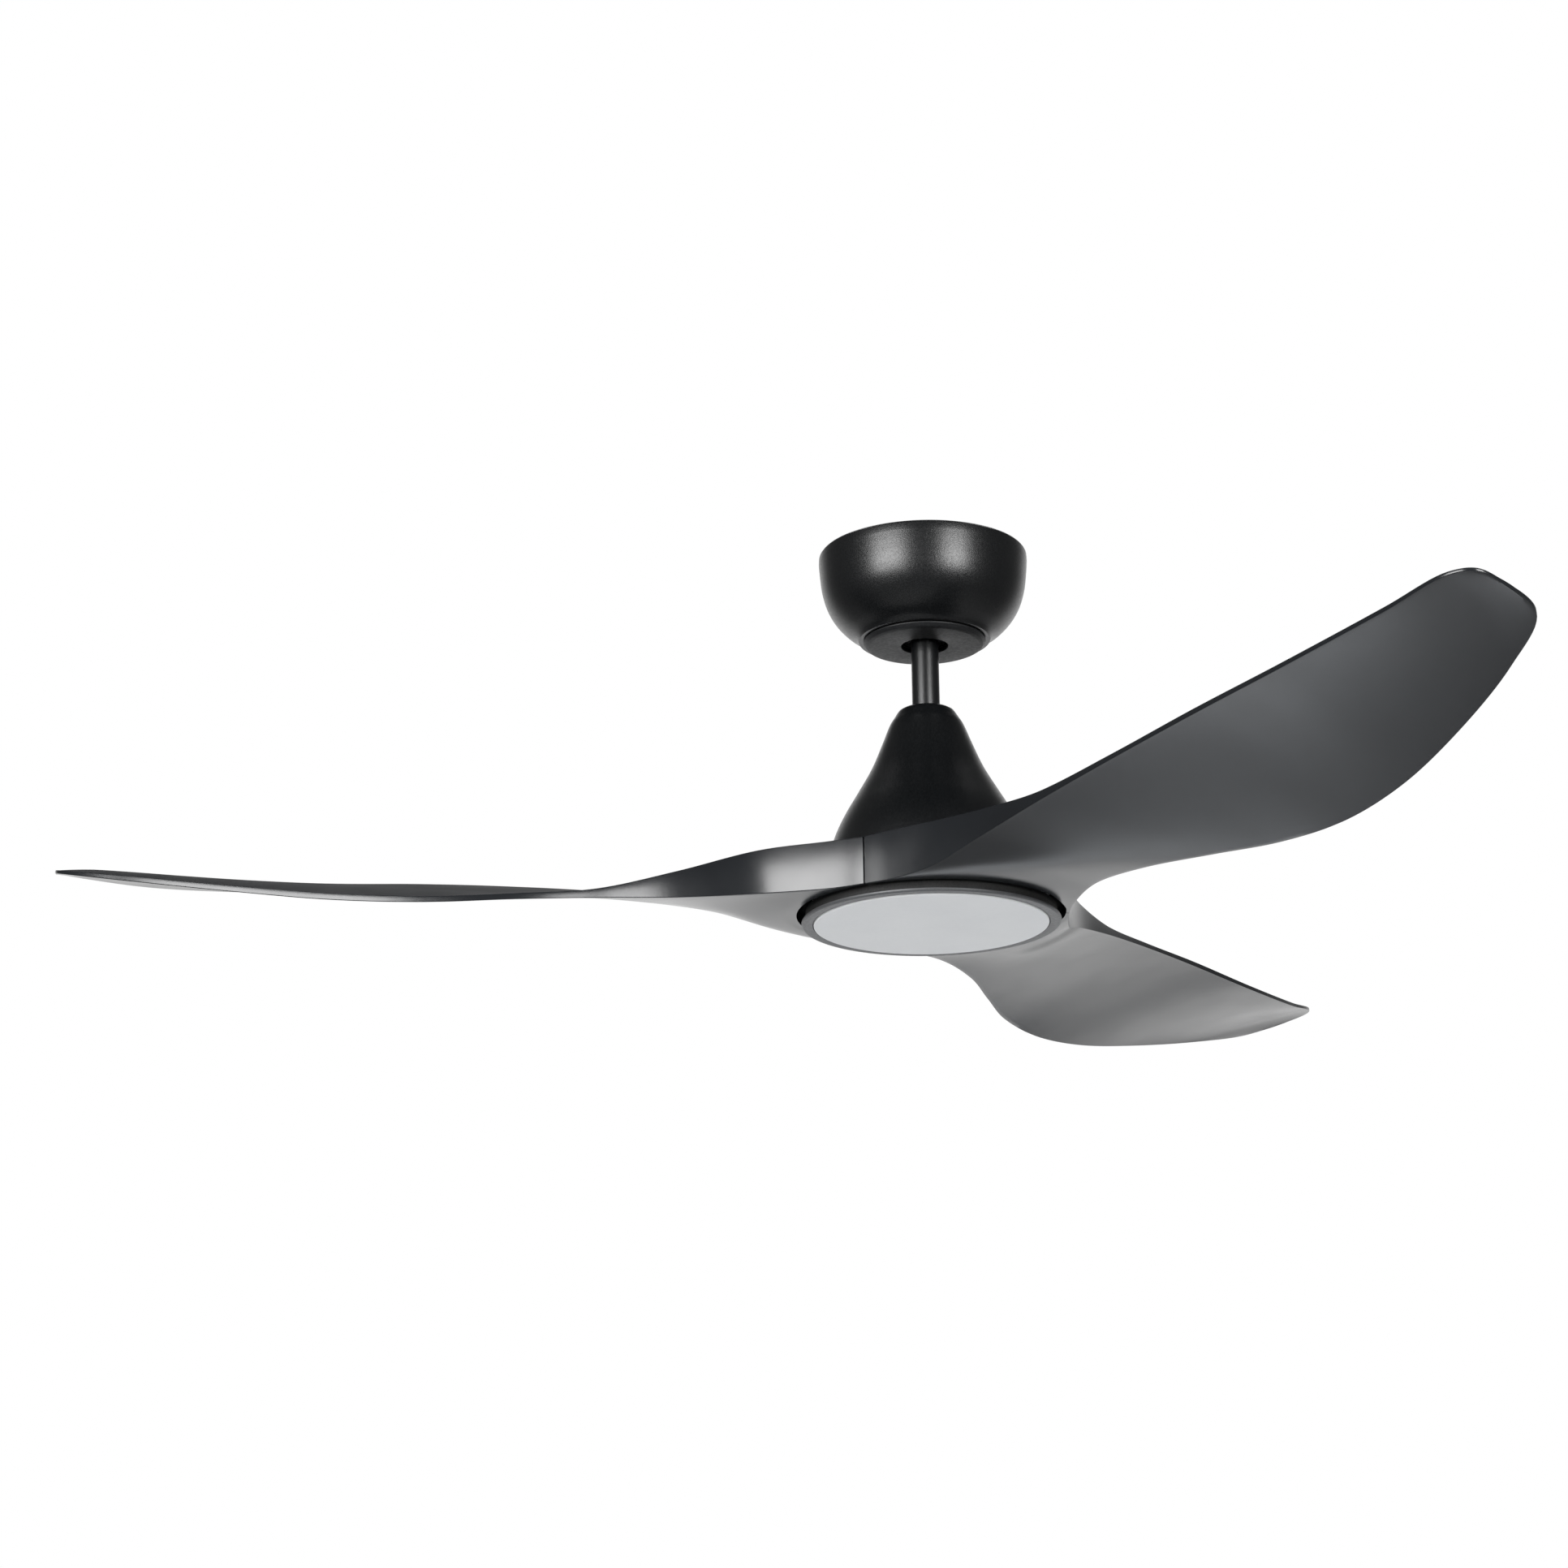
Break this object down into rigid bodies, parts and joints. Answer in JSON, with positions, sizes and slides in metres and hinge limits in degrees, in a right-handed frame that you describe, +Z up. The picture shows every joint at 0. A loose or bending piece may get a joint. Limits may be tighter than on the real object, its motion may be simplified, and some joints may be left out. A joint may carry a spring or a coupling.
{
  "type": "ceiling fan with light",
  "caption": "Ceiling fan: sculpted black blades round a motor under a cone cover, short rod, bowl canopy, and a flat round light below.",
  "frame": {"origin": "centre of the bracket's top face, on the ceiling plane, on the fan's axis", "axes": "+Z up out of the ceiling face; the blades turn about Z; +X and +Y are level"},
  "size_m": [1.0132, 1.1447, 0.2935],
  "materials": {
    "black_coat": "satin black powder coat with a fine speckle",
    "blade_finish": "satin black lacquer over moulded blades",
    "grey_bezel": "satin dark grey",
    "opal": "frosted opal acrylic",
    "zinc_steel": "bright zinc plate",
    "bare_aluminium": "die-cast, bead blasted",
    "dark_steel": "oiled bearing and lamination steel",
    "copper_wire": "enamelled copper wire",
    "ferrite": "bonded magnet, dull",
    "black_rubber": "matt moulded rubber",
    "white_plastic": "fine moulded texture",
    "circuit_board": "white solder mask",
    "cable_sheath": "smooth PVC sheath"
  },
  "bodies": {
    "ceiling_mount": {"ceiling_bracket": "zinc_steel", "canopy": "black_coat", "canopy_screw_1": "zinc_steel", "canopy_screw_2": "zinc_steel", "receiver_box": "white_plastic", "terminal_block": "white_plastic"},
    "trim_ring": {"canopy_trim_ring": "black_coat"},
    "ball": {"hanger_ball": "black_coat"},
    "hanging_frame": {"ball_cross_pin": "zinc_steel", "downrod": "black_coat", "motor_cable": "cable_sheath", "motor_coupling": "zinc_steel", "coupling_pin": "zinc_steel", "coupling_pin_clip": "zinc_steel", "coupling_set_screw_1": "dark_steel", "coupling_set_screw_2": "dark_steel", "motor_cover": "black_coat", "cover_grommet": "black_rubber", "cover_plate": "zinc_steel", "cover_plate_nut": "zinc_steel", "motor_shaft": "dark_steel", "stator_core": "dark_steel", "stator_windings": "copper_wire", "shaft_lock_nut": "zinc_steel", "light_mount_plate": "zinc_steel", "light_nut": "zinc_steel", "light_housing": "grey_bezel", "light_bezel": "grey_bezel", "led_driver": "white_plastic", "led_heat_sink": "bare_aluminium", "led_board": "circuit_board", "light_screw_1": "zinc_steel", "light_screw_2": "zinc_steel", "light_screw_3": "zinc_steel"},
    "rotor": {"upper_bearing": "dark_steel", "lower_bearing": "dark_steel", "rotor_upper_shell": "bare_aluminium", "rotor_lower_shell": "bare_aluminium", "magnet_ring": "ferrite", "blade_carrier": "zinc_steel", "rotor_screw_1": "zinc_steel", "rotor_screw_2": "zinc_steel", "rotor_screw_3": "zinc_steel", "carrier_screw_1": "zinc_steel", "carrier_screw_2": "zinc_steel", "carrier_screw_3": "zinc_steel", "blade_1": "blade_finish", "blade_2": "blade_finish", "blade_3": "blade_finish", "blade_1_screw_1": "zinc_steel", "blade_1_screw_2": "zinc_steel", "blade_1_screw_3": "zinc_steel", "blade_2_screw_1": "zinc_steel", "blade_2_screw_2": "zinc_steel", "blade_2_screw_3": "zinc_steel", "blade_3_screw_1": "zinc_steel", "blade_3_screw_2": "zinc_steel", "blade_3_screw_3": "zinc_steel"},
    "diffuser": {"diffuser": "opal"}
  },
  "joints": [
    {"name": "ball_rock", "type": "hinge", "parent": "ceiling_mount", "child": "ball", "pos_m": [0, 0, -0.042], "axis": [1, 0, 0], "range_deg": [-6, 6]},
    {"name": "rod_rock", "type": "hinge", "parent": "ball", "child": "hanging_frame", "pos_m": [0, 0, -0.042], "axis": [0, 1, 0], "range_deg": [-6, 6]},
    {"name": "rotor_spin", "type": "hinge", "parent": "hanging_frame", "child": "rotor", "pos_m": [0, 0, -0.24], "axis": [0, 0, 1], "continuous": true},
    {"name": "diffuser_twist", "type": "hinge", "parent": "hanging_frame", "child": "diffuser", "pos_m": [0, 0, -0.288], "axis": [0, 0, 1], "range_deg": [0, 15]},
    {"name": "trim_ring_twist", "type": "hinge", "parent": "ceiling_mount", "child": "trim_ring", "pos_m": [0, 0, -0.07], "axis": [0, 0, 1], "range_deg": [0, 12]}
  ]
}
